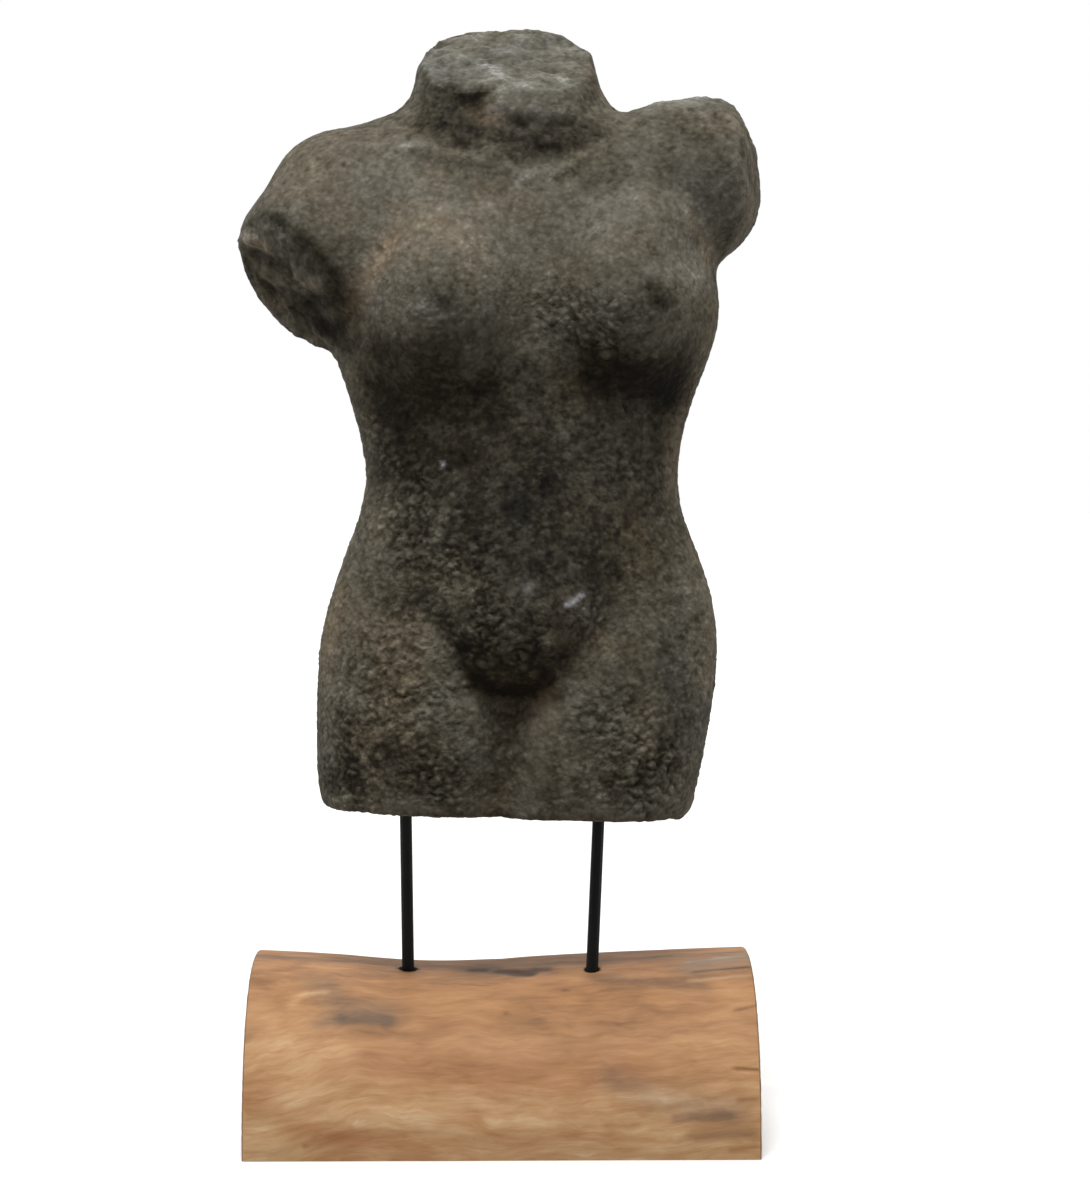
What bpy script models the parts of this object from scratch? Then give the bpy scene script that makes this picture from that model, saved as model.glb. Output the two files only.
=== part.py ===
"""Stone female torso on two steel rods, standing in a half-round log.

Metres, +Z up, the figure faces -Y. The origin is the centre of the log's underside.
"""

import math

import bmesh
import bpy
from mathutils import Matrix, Vector

# Log base, a half-round billet lying along X
LOG_LENGTH = 0.2715
LOG_DEPTH = 0.186
LOG_HEIGHT = 0.0898
LOG_EDGE_ROUND = 0.0018
LOG_SADDLE_DEPTH = 0.0035  # the worn hollow in the ridge
LOG_SADDLE_X = -0.045
LOG_SADDLE_REACH = 0.050
LOG_END_RISES = {-1: 0.0040, 1: 0.0050}  # how far the ridge climbs to its -X and +X ends
LOG_TOP_FLATNESS = 2.25  # superellipse power of the half-round section
LOG_STATIONS = 16
LOG_SEGMENTS = 32

# Rods
ROD_DIAMETER = 0.0066
ROD_FEET = {"left": (-0.0512, -0.014), "right": (0.0490, -0.027)}  # x, y on the log
ROD_HEADS = {"left": (-0.0523, -0.014), "right": (0.0528, -0.020)}  # x, y under the stone
ROD_SHOWN = 0.0854  # bare length between the log and the stone
LOG_SOCKET_DEPTH = 0.050
STONE_SOCKET_DEPTH = 0.060
SOCKET_CLEARANCE = 0.0003
SOCKET_MOUTHS = {"left": 0.0104, "right": 0.0084}  # width of the drilled mouths in the log
SOCKET_MOUTH_DEPTH = 0.0030
ROD_SIDES = 20

# Stone figure: everything below is a share of its height
TORSO_HEIGHT = 0.426
TORSO_AXIS_X = 0.002
TORSO_AXIS_Y = -0.014
UNDERSIDE_TILT = math.radians(1.9)
SECTION_POWER = 2.35
RING_POINTS = 72
RING_COUNT = 60
BLEND_VOXEL = 0.0085
BLEND_STEPS = 30
EDGE_VOXEL = 0.0075
EDGE_STEPS = 4
STONE_TRIANGLES = 7200

# height, half width on -X, half width on +X, depth in front, depth behind
TRUNK_LEVELS = (
    (-0.030, 0.216, 0.214, 0.090, 0.090),
    (0.004, 0.235, 0.237, 0.100, 0.098),
    (0.026, 0.241, 0.246, 0.104, 0.100),
    (0.070, 0.243, 0.256, 0.106, 0.103),
    (0.127, 0.242, 0.265, 0.108, 0.108),
    (0.184, 0.241, 0.272, 0.108, 0.112),
    (0.235, 0.235, 0.273, 0.108, 0.110),
    (0.286, 0.221, 0.263, 0.108, 0.103),
    (0.337, 0.203, 0.246, 0.106, 0.094),
    (0.381, 0.187, 0.228, 0.103, 0.087),
    (0.426, 0.178, 0.221, 0.100, 0.083),
    (0.470, 0.184, 0.226, 0.099, 0.084),
    (0.515, 0.195, 0.237, 0.100, 0.090),
    (0.559, 0.210, 0.254, 0.102, 0.098),
    (0.604, 0.215, 0.270, 0.104, 0.106),
    (0.654, 0.203, 0.275, 0.105, 0.113),
    (0.693, 0.198, 0.266, 0.105, 0.117),
    (0.743, 0.195, 0.250, 0.102, 0.118),
    (0.794, 0.190, 0.250, 0.096, 0.114),
    (0.845, 0.165, 0.225, 0.084, 0.098),
    (0.880, 0.120, 0.170, 0.062, 0.075),
)

# name: centre, radii
BALLS = {
    "shoulder_left": ((-0.202, 0.004, 0.769), (0.103, 0.098, 0.103)),
    "shoulder_right": ((0.214, 0.010, 0.803), (0.106, 0.096, 0.106)),
    "yoke": ((0.004, 0.015, 0.831), (0.235, 0.086, 0.078)),
    "chest_left": ((-0.120, -0.008, 0.765), (0.125, 0.090, 0.100)),
    "chest_right": ((0.160, -0.008, 0.775), (0.125, 0.090, 0.100)),
}

# name: foot centre, head centre, foot radius, head radius, depth over width
LIMBS = {
    "arm_left": ((-0.200, 0.006, 0.766), (-0.345, -0.082, 0.566), 0.101, 0.095, 1.0),
    "arm_right": ((0.180, 0.010, 0.796), (0.390, 0.000, 0.820), 0.104, 0.099, 0.92),
    "neck": ((0.004, 0.013, 0.780), (0.001, 0.010, 1.040), 0.144, 0.102, 0.79),
}

# Soft swellings of the front (-1) and the back (1)
SWELLING_POWER = 1.6
# name: side, x, height, reach sideways, reach up, reach down, how far it stands out
SWELLINGS = {
    "breast_left": (-1, -0.090, 0.652, 0.122, 0.160, 0.134, 0.064),
    "breast_right": (-1, 0.166, 0.646, 0.122, 0.160, 0.130, 0.066),
    "throat": (-1, 0.000, 0.872, 0.130, 0.050, 0.046, -0.018),
    "belly": (-1, 0.018, 0.335, 0.200, 0.190, 0.150, 0.032),
    "mound": (-1, 0.015, 0.232, 0.128, 0.125, 0.095, 0.034),
    "thigh_left": (-1, -0.122, 0.110, 0.140, 0.200, 0.240, 0.020),
    "thigh_right": (-1, 0.140, 0.110, 0.140, 0.200, 0.240, 0.020),
    "buttock_left": (1, -0.110, 0.195, 0.150, 0.150, 0.150, 0.052),
    "buttock_right": (1, 0.134, 0.195, 0.155, 0.150, 0.150, 0.052),
    "blade_left": (1, -0.110, 0.735, 0.095, 0.130, 0.130, 0.018),
    "blade_right": (1, 0.128, 0.745, 0.095, 0.130, 0.130, 0.018),
}

# Lines cut into the stone (depth above 0) or raised on it (below 0)
# name: side, width, depth, points as x and height
CREASES = {
    "collar": (-1, 0.014, -0.007, ((-0.145, 0.852), (-0.019, 0.830), (0.108, 0.858), (0.150, 0.880))),
    "armpit_left": (-1, 0.030, 0.005, ((-0.200, 0.630), (-0.180, 0.680), (-0.140, 0.745))),
    "armpit_right": (-1, 0.022, 0.006, ((0.262, 0.677), (0.235, 0.737))),
    "under_breast_left": (-1, 0.014, 0.005, ((-0.160, 0.536), (-0.095, 0.530))),
    "under_breast_right": (-1, 0.024, 0.009, ((0.098, 0.600), (0.118, 0.550), (0.184, 0.524))),
    "groin_left": (-1, 0.024, 0.015, ((-0.098, 0.262), (-0.052, 0.200), (-0.036, 0.165), (0.010, 0.147))),
    "groin_right": (-1, 0.024, 0.013, ((0.010, 0.147), (0.062, 0.163), (0.084, 0.196), (0.125, 0.245))),
    "between_thighs": (-1, 0.026, 0.018, ((0.004, 0.140), (-0.010, 0.060), (-0.010, -0.020))),
    "spine": (1, 0.032, 0.014, ((0.005, 0.830), (0.012, 0.600), (0.018, 0.420), (0.016, 0.300))),
    "cleft": (1, 0.026, 0.026, ((0.016, 0.270), (0.012, 0.150), (0.006, -0.020))),
}

# name: the planes that a limb is broken off along, each a point and the way it faces
BREAKS = {
    "arm_left": (((-0.277, -0.050, 0.684), (-0.64, -0.53, -0.56)),),
    "arm_right": (
        ((0.315, -0.010, 0.800), (0.98, -0.20, 0.04)),
        ((0.302, 0.000, 0.882), (0.91, -0.16, 0.38)),
        ((0.304, 0.000, 0.735), (0.86, -0.20, -0.47)),
    ),
    "neck": (),
}
NECK_BREAKS = (
    ((0.000, 0.010, 0.963), (0.00, -0.54, 0.84)),
    ((0.010, 0.079, 1.004), (0.05, 0.45, 0.88)),
)


def new_collection(name, shown=True):
    collection = bpy.data.collections.new(name)
    collection.hide_render = not shown
    bpy.context.scene.collection.children.link(collection)
    return collection


def new_material(name, colour, roughness, metallic=0.0):
    material = bpy.data.materials.new(name)
    material.use_nodes = True
    shader = material.node_tree.nodes["Principled BSDF"]
    shader.inputs["Base Color"].default_value = (*colour, 1.0)
    shader.inputs["Roughness"].default_value = roughness
    shader.inputs["Metallic"].default_value = metallic
    return material


def object_from(bm, name, collection, material=None):
    mesh = bpy.data.meshes.new(name)
    bm.to_mesh(mesh)
    bm.free()
    if material:
        mesh.materials.append(material)
    made = bpy.data.objects.new(name, mesh)
    collection.objects.link(made)
    return made


def evaluated_mesh(made):
    """The object's mesh with its modifiers applied."""
    bpy.context.view_layer.update()
    graph = bpy.context.evaluated_depsgraph_get()
    return bpy.data.meshes.new_from_object(made.evaluated_get(graph))


def cut(made, cutter):
    modifier = made.modifiers.new(cutter.name, "BOOLEAN")
    modifier.operation = "DIFFERENCE"
    modifier.object = cutter
    modifier.solver = "EXACT"


def clamp_share(value):
    return min(1.0, max(0.0, value))


def trunk_level(height):
    """The trunk's sizes at a height, on a smooth curve through its levels."""
    heights = [level[0] for level in TRUNK_LEVELS]
    last = len(heights) - 2
    at = min(last, max(0, sum(h <= height for h in heights) - 1))
    span = heights[at + 1] - heights[at]
    t = clamp_share((height - heights[at]) / span)

    def slope(i, column):
        low, high = max(0, i - 1), min(last + 1, i + 1)
        rise = TRUNK_LEVELS[high][column] - TRUNK_LEVELS[low][column]
        return rise / (heights[high] - heights[low])

    sizes = []
    for column in range(1, 5):
        start, end = TRUNK_LEVELS[at][column], TRUNK_LEVELS[at + 1][column]
        sizes.append(
            start * (2 * t**3 - 3 * t**2 + 1)
            + end * (3 * t**2 - 2 * t**3)
            + span * slope(at, column) * (t**3 - 2 * t**2 + t)
            + span * slope(at + 1, column) * (t**3 - t**2)
        )
    return sizes


def rounded(value, power):
    return math.copysign(abs(value) ** (2 / power), value)


def add_loft(bm, rings):
    """A closed skin through rings of points, all with the same number of points."""
    loops = [[bm.verts.new(point) for point in ring] for ring in rings]
    for before, after in zip(loops, loops[1:]):
        for i, vert in enumerate(before):
            j = (i + 1) % len(before)
            bm.faces.new((vert, before[j], after[j], after[i]))
    bm.faces.new(list(reversed(loops[0])))
    bm.faces.new(loops[-1])
    bmesh.ops.recalc_face_normals(bm, faces=bm.faces[:])


def add_trunk(bm):
    """A loft of superellipse rings from the thighs to the shoulders."""
    low, high = TRUNK_LEVELS[0][0], TRUNK_LEVELS[-1][0]
    rings = []
    for k in range(RING_COUNT):
        height = low + (high - low) * k / (RING_COUNT - 1)
        left, right, front, behind = trunk_level(height)
        ring = []
        for i in range(RING_POINTS):
            turn = 2 * math.pi * i / RING_POINTS
            across = rounded(math.cos(turn), SECTION_POWER)
            along = rounded(math.sin(turn), SECTION_POWER)
            x = across * (right if across > 0 else left)
            y = along * (behind if along > 0 else front)
            ring.append((x, y, height))
        rings.append(ring)
    add_loft(bm, rings)


def add_ball(bm, centre, radii):
    place = Matrix.Translation(centre) @ Matrix.Diagonal((*radii, 1.0))
    bmesh.ops.create_uvsphere(bm, u_segments=40, v_segments=24, radius=1.0, matrix=place)


def add_limb(bm, foot, head, foot_radius, head_radius, depth_ratio, breaks):
    """A tapered round limb, broken off along planes."""
    start, end = Vector(foot), Vector(head)
    along = end - start
    turn = along.to_track_quat("Z", "Y").to_matrix().to_4x4()
    flatten = Matrix.Diagonal((1.0, depth_ratio, 1.0, 1.0))
    own = bmesh.new()
    bmesh.ops.create_cone(
        own,
        cap_ends=True,
        segments=48,
        radius1=foot_radius,
        radius2=head_radius,
        depth=along.length,
        matrix=Matrix.Translation((start + end) / 2) @ flatten @ turn,
    )
    for point, normal in breaks:
        cut_away(own, point, normal)
    mesh = bpy.data.meshes.new("limb")
    own.to_mesh(mesh)
    own.free()
    bm.from_mesh(mesh)
    bpy.data.meshes.remove(mesh)


def remeshed(made, voxel, steps):
    """The object's mesh as one skin of even faces, softened by so many steps."""
    remesh = made.modifiers.new("one_skin", "REMESH")
    remesh.mode = "VOXEL"
    remesh.voxel_size = voxel
    soften = made.modifiers.new("soften", "SMOOTH")
    soften.factor = 0.5
    soften.iterations = steps
    mesh = evaluated_mesh(made)
    made.modifiers.clear()
    made.data = mesh


def swelling(side, x, height, spread):
    """How far a swelling lifts the skin at a point of the front or the back."""
    own_side, mid_x, mid_height, sideways, up, down, amount = spread
    if side != own_side:
        return 0.0
    reach = up if height > mid_height else down
    away = ((x - mid_x) / sideways) ** 2 + ((height - mid_height) / reach) ** 2
    return amount * max(0.0, 1.0 - away) ** SWELLING_POWER


def crease(side, x, height, line):
    """How far a crease sinks the skin at a point of the front or the back."""
    own_side, width, depth, points = line
    if side != own_side:
        return 0.0
    place = Vector((x, height))
    nearest = min(distance_to(place, Vector(a), Vector(b)) for a, b in zip(points, points[1:]))
    return depth * math.exp(-((nearest / width) ** 2))


def distance_to(place, start, end):
    along = end - start
    share = clamp_share((place - start).dot(along) / along.length_squared)
    return (place - start - along * share).length


def carve(torso):
    """Moves the skin forwards and backwards by the swellings and the creases."""
    bm = bmesh.new()
    bm.from_mesh(torso.data)
    bm.normal_update()
    shifts = []
    for vert in bm.verts:
        facing = vert.normal.y
        side = 1 if facing > 0 else -1
        share = clamp_share(abs(facing) / 0.7)
        share = share * share * (3 - 2 * share)
        x, _, height = vert.co
        out = sum(swelling(side, x, height, spread) for spread in SWELLINGS.values())
        out -= sum(crease(side, x, height, line) for line in CREASES.values())
        shifts.append(side * share * out)
    for vert, shift in zip(bm.verts, shifts):
        vert.co.y += shift
    bm.to_mesh(torso.data)
    bm.free()


def cut_away(bm, point, normal):
    """Cuts off what lies beyond a plane, and closes the cut with a flat face."""
    everything = bm.verts[:] + bm.edges[:] + bm.faces[:]
    cut = bmesh.ops.bisect_plane(
        bm,
        geom=everything,
        plane_co=Vector(point),
        plane_no=Vector(normal).normalized(),
        clear_outer=True,
    )
    rim = [e for e in cut["geom_cut"] if isinstance(e, bmesh.types.BMEdge)]
    bmesh.ops.holes_fill(bm, edges=rim, sides=0)


def make_torso(collection, material):
    """The carved stone: masses blended into one skin, carved, then broken off at the neck."""
    bm = bmesh.new()
    add_trunk(bm)
    for centre, radii in BALLS.values():
        add_ball(bm, centre, radii)
    for name, limb in LIMBS.items():
        add_limb(bm, *limb, BREAKS[name])
    torso = object_from(bm, "stone_torso", collection)
    remeshed(torso, BLEND_VOXEL, BLEND_STEPS)
    carve(torso)

    bm = bmesh.new()
    bm.from_mesh(torso.data)
    for point, normal in NECK_BREAKS:
        cut_away(bm, point, normal)
    cut_away(bm, (0, 0, 0), (-math.sin(UNDERSIDE_TILT), 0, -math.cos(UNDERSIDE_TILT)))
    bm.to_mesh(torso.data)
    bm.free()
    remeshed(torso, EDGE_VOXEL, EDGE_STEPS)

    thin = torso.modifiers.new("thin_out", "DECIMATE")
    torso.data.calc_loop_triangles()
    thin.ratio = STONE_TRIANGLES / len(torso.data.loop_triangles)
    mesh = evaluated_mesh(torso)
    torso.modifiers.clear()
    torso.data = mesh

    foot = Vector((TORSO_AXIS_X, TORSO_AXIS_Y, torso_foot_height()))
    torso.data.transform(Matrix.Translation(foot) @ Matrix.Scale(TORSO_HEIGHT, 4))
    torso.data.materials.clear()
    torso.data.materials.append(material)
    torso.data.shade_smooth()
    return torso


def log_top(x, y=0.0):
    """Height of the log's skin above a point."""
    worn = math.exp(-(((x - LOG_SADDLE_X) / LOG_SADDLE_REACH) ** 2))
    climb = LOG_END_RISES[1 if x > 0 else -1] * clamp_share(2 * abs(x) / LOG_LENGTH)
    ridge = LOG_HEIGHT - LOG_SADDLE_DEPTH * worn + climb
    share = min(1.0, abs(y) / (LOG_DEPTH / 2))
    return ridge * (1 - share**LOG_TOP_FLATNESS) ** (1 / LOG_TOP_FLATNESS)


def log_ring(x, inset):
    """The half-round section at a place along the log, drawn in by an inset."""
    half = LOG_DEPTH / 2 - inset
    ridge = log_top(x) - 2 * inset
    ring = [(x, half - LOG_EDGE_ROUND, inset)]
    for i in range(LOG_SEGMENTS + 1):
        turn = math.pi * i / LOG_SEGMENTS
        y = rounded(math.cos(turn), LOG_TOP_FLATNESS) * half
        z = rounded(math.sin(turn), LOG_TOP_FLATNESS) * ridge
        low = clamp_share(1 - z / LOG_EDGE_ROUND)
        drawn_in = math.copysign(0.3 * LOG_EDGE_ROUND * low, y)
        ring.append((x, y - drawn_in, inset + z + 0.3 * LOG_EDGE_ROUND * low))
    ring.append((x, LOG_EDGE_ROUND - half, inset))
    return ring


def make_log(collection, material):
    """A drum sawn in half along its length, its ridge worn to a shallow saddle."""
    end = LOG_LENGTH / 2
    shares = (k / LOG_STATIONS for k in range(1, LOG_STATIONS))
    inner = [(LOG_LENGTH * (share - 0.5), 0.0) for share in shares]
    left = [(-end, 1.0), (0.3 * LOG_EDGE_ROUND - end, 0.3), (LOG_EDGE_ROUND - end, 0.0)]
    right = [(-x, inset) for x, inset in reversed(left)]
    bm = bmesh.new()
    add_loft(bm, [log_ring(x, inset * LOG_EDGE_ROUND) for x, inset in left + inner + right])
    log = object_from(bm, "half_log_base", collection, material)
    log.data.shade_smooth()
    log.data.set_sharp_from_angle(angle=math.radians(35))
    return log


def torso_foot_height():
    return log_top(0.0) + ROD_SHOWN


def rod_line(side):
    """The points where a rod leaves the log and enters the stone."""
    foot = Vector((*ROD_FEET[side], log_top(*ROD_FEET[side])))
    head = Vector((*ROD_HEADS[side], torso_foot_height()))
    return foot, head


def make_rod(side, collection, material):
    foot, head = rod_line(side)
    along = (head - foot).normalized()
    start = foot - along * (LOG_SOCKET_DEPTH - SOCKET_CLEARANCE)
    end = head + along * (STONE_SOCKET_DEPTH - SOCKET_CLEARANCE)
    curve = bpy.data.curves.new(f"rod_{side}", "CURVE")
    curve.dimensions = "3D"
    curve.bevel_depth = ROD_DIAMETER / 2
    curve.bevel_resolution = ROD_SIDES // 4 - 1
    curve.use_fill_caps = True
    spline = curve.splines.new("POLY")
    spline.points.add(1)
    for point, place in zip(spline.points, (start, end)):
        point.co = (*place, 1.0)
    curve.materials.append(material)
    rod = bpy.data.objects.new(f"rod_{side}", curve)
    collection.objects.link(rod)
    return rod


def make_drill(name, point, along, profile, collection):
    """A turned cutter on a line through a point, from its distances along the line and radii."""
    side = along.orthogonal().normalized()
    rings = []
    for distance, radius in profile:
        turns = (Matrix.Rotation(2 * math.pi * k / ROD_SIDES, 3, along) for k in range(ROD_SIDES))
        rings.append([point + along * distance + turn @ side * radius for turn in turns])
    bm = bmesh.new()
    add_loft(bm, rings)
    drill = object_from(bm, name, collection)
    drill.hide_render = True
    drill.display_type = "WIRE"
    return drill


def drill_sockets(side, log, torso, cutters):
    """Blind holes for one rod: one down into the log, one up into the stone."""
    foot, head = rod_line(side)
    along = (head - foot).normalized()
    bore = ROD_DIAMETER / 2 + SOCKET_CLEARANCE
    mouth = SOCKET_MOUTHS[side] / 2
    over = ROD_DIAMETER
    flare = (mouth - bore) / SOCKET_MOUTH_DEPTH
    in_log = (
        (-LOG_SOCKET_DEPTH, bore),
        (-SOCKET_MOUTH_DEPTH, bore),
        (over, mouth + flare * over),
    )
    in_stone = ((-over, bore), (STONE_SOCKET_DEPTH, bore))
    cut(log, make_drill(f"log_drill_{side}", foot, along, in_log, cutters))
    cut(torso, make_drill(f"stone_drill_{side}", head, along, in_stone, cutters))


def main():
    for old in list(bpy.data.objects):
        bpy.data.objects.remove(old)
    shown = new_collection("torso_on_log")
    cutters = new_collection("cutters", shown=False)
    stone = new_material("stone", (0.105, 0.096, 0.078), 0.88)
    wood = new_material("wood", (0.46, 0.25, 0.12), 0.62)
    steel = new_material("black_steel", (0.012, 0.012, 0.012), 0.5, metallic=0.3)
    log = make_log(shown, wood)
    torso = make_torso(shown, stone)
    for side in ("left", "right"):
        make_rod(side, shown, steel)
        drill_sockets(side, log, torso, cutters)


main()
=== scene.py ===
# Broken stone torso on two black rods in a half-round log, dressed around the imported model
import math

import bmesh
import bpy
import numpy as np
from mathutils import Matrix, Vector, noise
from mathutils.bvhtree import BVHTree


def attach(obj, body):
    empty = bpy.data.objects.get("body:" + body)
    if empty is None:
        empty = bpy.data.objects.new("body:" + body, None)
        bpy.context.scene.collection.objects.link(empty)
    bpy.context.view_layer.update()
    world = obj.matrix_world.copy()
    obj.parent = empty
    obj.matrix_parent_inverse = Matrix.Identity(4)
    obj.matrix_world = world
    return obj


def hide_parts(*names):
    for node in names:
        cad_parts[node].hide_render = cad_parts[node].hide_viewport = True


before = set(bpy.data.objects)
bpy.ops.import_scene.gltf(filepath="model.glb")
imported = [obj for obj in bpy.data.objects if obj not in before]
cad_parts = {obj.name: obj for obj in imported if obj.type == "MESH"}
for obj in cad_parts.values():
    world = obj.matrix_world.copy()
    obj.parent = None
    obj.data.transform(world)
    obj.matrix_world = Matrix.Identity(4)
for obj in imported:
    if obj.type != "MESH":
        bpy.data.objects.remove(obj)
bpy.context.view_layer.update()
noise.seed_set(7)  # the vector noise would otherwise take its seed from the clock
print("frame loaded:", ", ".join(sorted(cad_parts)))

# Camera, at the photograph's viewing angle
viewpoint = {
    "place": (0.0, -1.6, 0.3618),
    "focalPixels": 2919.0,
    "imageSize": (1090, 1200),
    "levelPixel": (501.5, 462.6),  # what a level view straight along +Y would centre on
    "trimDown": math.radians(-0.07),
    "filmWidth": 36.0,
}


def makeCamera():
    width, height = viewpoint["imageSize"]
    focal = viewpoint["focalPixels"]
    down = math.atan((height / 2 - viewpoint["levelPixel"][1]) / focal) + viewpoint["trimDown"]
    across = math.atan((width / 2 - viewpoint["levelPixel"][0]) / focal)
    data = bpy.data.cameras.new("studioCamera")
    data.sensor_width = viewpoint["filmWidth"]
    data.lens = focal / height * viewpoint["filmWidth"]
    camera = bpy.data.objects.new("studioCamera", data)
    camera.location = viewpoint["place"]
    camera.rotation_euler = (math.pi / 2 - down, 0, -across)
    bpy.context.scene.collection.objects.link(camera)
    bpy.context.scene.camera = camera
    bpy.context.view_layer.update()
    return camera


camera = makeCamera()
print("camera placed")


# Shared helpers for meshes
def linkedObject(name, mesh):
    made = bpy.data.objects.new(name, mesh)
    bpy.context.scene.collection.objects.link(made)
    return made


def mergedCopy(nodeName):
    bm = bmesh.new()
    bm.from_mesh(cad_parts[nodeName].data)
    bmesh.ops.remove_doubles(bm, verts=bm.verts, dist=0.00001)
    bmesh.ops.recalc_face_normals(bm, faces=bm.faces)
    return bm


def applyModifiers(piece):
    bpy.context.view_layer.update()
    graph = bpy.context.evaluated_depsgraph_get()
    seen = piece.evaluated_get(graph)
    mesh = bpy.data.meshes.new_from_object(seen, preserve_all_data_layers=True, depsgraph=graph)
    piece.modifiers.clear()
    piece.data = mesh


def vectors(source, quality):
    found = np.empty(len(source) * 3)
    source.foreach_get(quality, found)
    return found.reshape(-1, 3)


def vertexShape(mesh):  # where each vertex lies and which way it faces
    return vectors(mesh.vertices, "co"), vectors(mesh.vertex_normals, "vector")


def sampled(places, size, pattern):  # a noise function read at every place, its features about one size wide
    return np.array([pattern(place) for place in (places / size).tolist()])


def eased(values, low, high):
    share = np.clip((values - low) / (high - low), 0, 1)
    return share * share * (3 - 2 * share)


def pathDistance(places, path):
    nearest = np.full(len(places), 9.0)
    for start, end in zip(path, path[1:] if len(path) > 1 else path):
        along = end - start
        share = np.clip((places - start) @ along / max(along @ along, 1e-12), 0, 1)
        gap = np.linalg.norm(places - start - share[:, None] * along, axis=1)
        nearest = np.minimum(nearest, gap)
    return nearest


def axisDistance(places, start, end):
    along = (end - start) / np.linalg.norm(end - start)
    across = places - start
    return np.linalg.norm(across - (across @ along)[:, None] * along, axis=1)


def rodEnds(nodeName):  # the middles of a rod's lower and upper end
    bm = mergedCopy(nodeName)
    middle = sum(v.co.z for v in bm.verts) / len(bm.verts)
    ends = []
    for below in (True, False):
        ring = [v.co for v in bm.verts if (v.co.z < middle) == below]
        ends.append(sum(ring, Vector()) / len(ring))
    bm.free()
    return ends


rods = {name: rodEnds(name) for name in ("rod_left", "rod_right")}


class Marker:  # finds the places on a surface that the camera sees at pixels of the photograph
    def __init__(self, bm):
        self.tree = BVHTree.FromBMesh(bm)

    def place(self, across, down):
        width, height = viewpoint["imageSize"]
        focal = viewpoint["focalPixels"]
        sight = Vector(((across - width / 2) / focal, (height / 2 - down) / focal, -1))
        sight = camera.matrix_world.to_3x3() @ sight
        start = camera.matrix_world.translation
        found = self.tree.ray_cast(start, sight.normalized())[0]
        if found is None:  # just past the outline, so the nearest place to the sight line is taken
            reach = -start.y / sight.y
            found = self.tree.find_nearest(start + sight * reach)[0]
        return found

    def path(self, pixels):
        return np.array([self.place(*pixel) for pixel in pixels])


def stroke(line, width, **shares):  # a mark along a line, fading out over its width
    return {"line": line, "width": width, **shares}


def strokeWeight(places, path, width):
    return np.exp(-((pathDistance(places, path) / width) ** 2))


def strokeWeights(places, marker, marks):  # how much of each mark every place takes
    paths = {name: marker.path(mark["line"]) for name, mark in marks.items()}
    return {name: strokeWeight(places, path, marks[name]["width"]) for name, path in paths.items()}


def total(weights, marks, quality):
    found = [weights[name] * mark[quality] for name, mark in marks.items() if quality in mark]
    return sum(found) if found else 0.0


def paintVertices(mesh, name, channels):
    layer = mesh.color_attributes.new(name, "FLOAT_COLOR", "POINT")
    colours = np.ones((len(mesh.vertices), 4))
    for k, channel in enumerate(channels):
        colours[:, k] = np.clip(channel, 0, 1)
    layer.data.foreach_set("color", colours.astype(np.float32).ravel())


def turnedCutter(name, start, end, profile):  # a hidden tool, from distances along a line and radii
    along = (end - start).normalized()
    turn = along.to_track_quat("Z", "Y").to_matrix().to_4x4()
    bm = bmesh.new()
    line = [bm.verts.new((radius, 0, distance)) for distance, radius in profile]
    edges = [bm.edges.new(pair) for pair in zip(line, line[1:])]
    bmesh.ops.spin(
        bm, geom=line + edges, cent=(0, 0, 0), axis=(0, 0, 1),
        angle=2 * math.pi, steps=40, use_merge=True,
    )
    bmesh.ops.remove_doubles(bm, verts=bm.verts, dist=0.000001)
    bmesh.ops.recalc_face_normals(bm, faces=bm.faces)
    bmesh.ops.transform(bm, matrix=Matrix.Translation(start) @ turn, verts=bm.verts)
    mesh = bpy.data.meshes.new(name)
    bm.to_mesh(mesh)
    bm.free()
    return linkedObject(name, mesh)


def drilled(piece, cutters):
    for cutter in cutters:
        cut = piece.modifiers.new("drilled", "BOOLEAN")
        cut.operation = "DIFFERENCE"
        cut.solver = "MANIFOLD"
        cut.object = cutter
    applyModifiers(piece)
    for cutter in cutters:
        bpy.data.objects.remove(cutter)


# Shader expressions
class Wire:  # a shader socket that adds a Math node for each sign in an expression
    def __init__(self, finish, socket):
        self.finish, self.socket = finish, socket

    def maths(self, operation, *values):
        return self.finish.node("ShaderNodeMath", {"operation": operation}, dict(enumerate(values)))

    def __add__(self, other):
        return self.maths("ADD", self, other)

    def __radd__(self, other):
        return self.maths("ADD", other, self)

    def __sub__(self, other):
        return self.maths("SUBTRACT", self, other)

    def __rsub__(self, other):
        return self.maths("SUBTRACT", other, self)

    def __mul__(self, other):
        return self.maths("MULTIPLY", self, other)

    def __rmul__(self, other):
        return self.maths("MULTIPLY", other, self)

    def __abs__(self):
        return self.maths("ABSOLUTE", self)

    def root(self):
        return self.maths("SQRT", self)

    def between(self, low, high):  # 0 below low, 1 above high, eased
        inputs = {"Value": self, "From Min": low, "From Max": high}
        return self.finish.node("ShaderNodeMapRange", {"interpolation_type": "SMOOTHSTEP"}, inputs)


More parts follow.
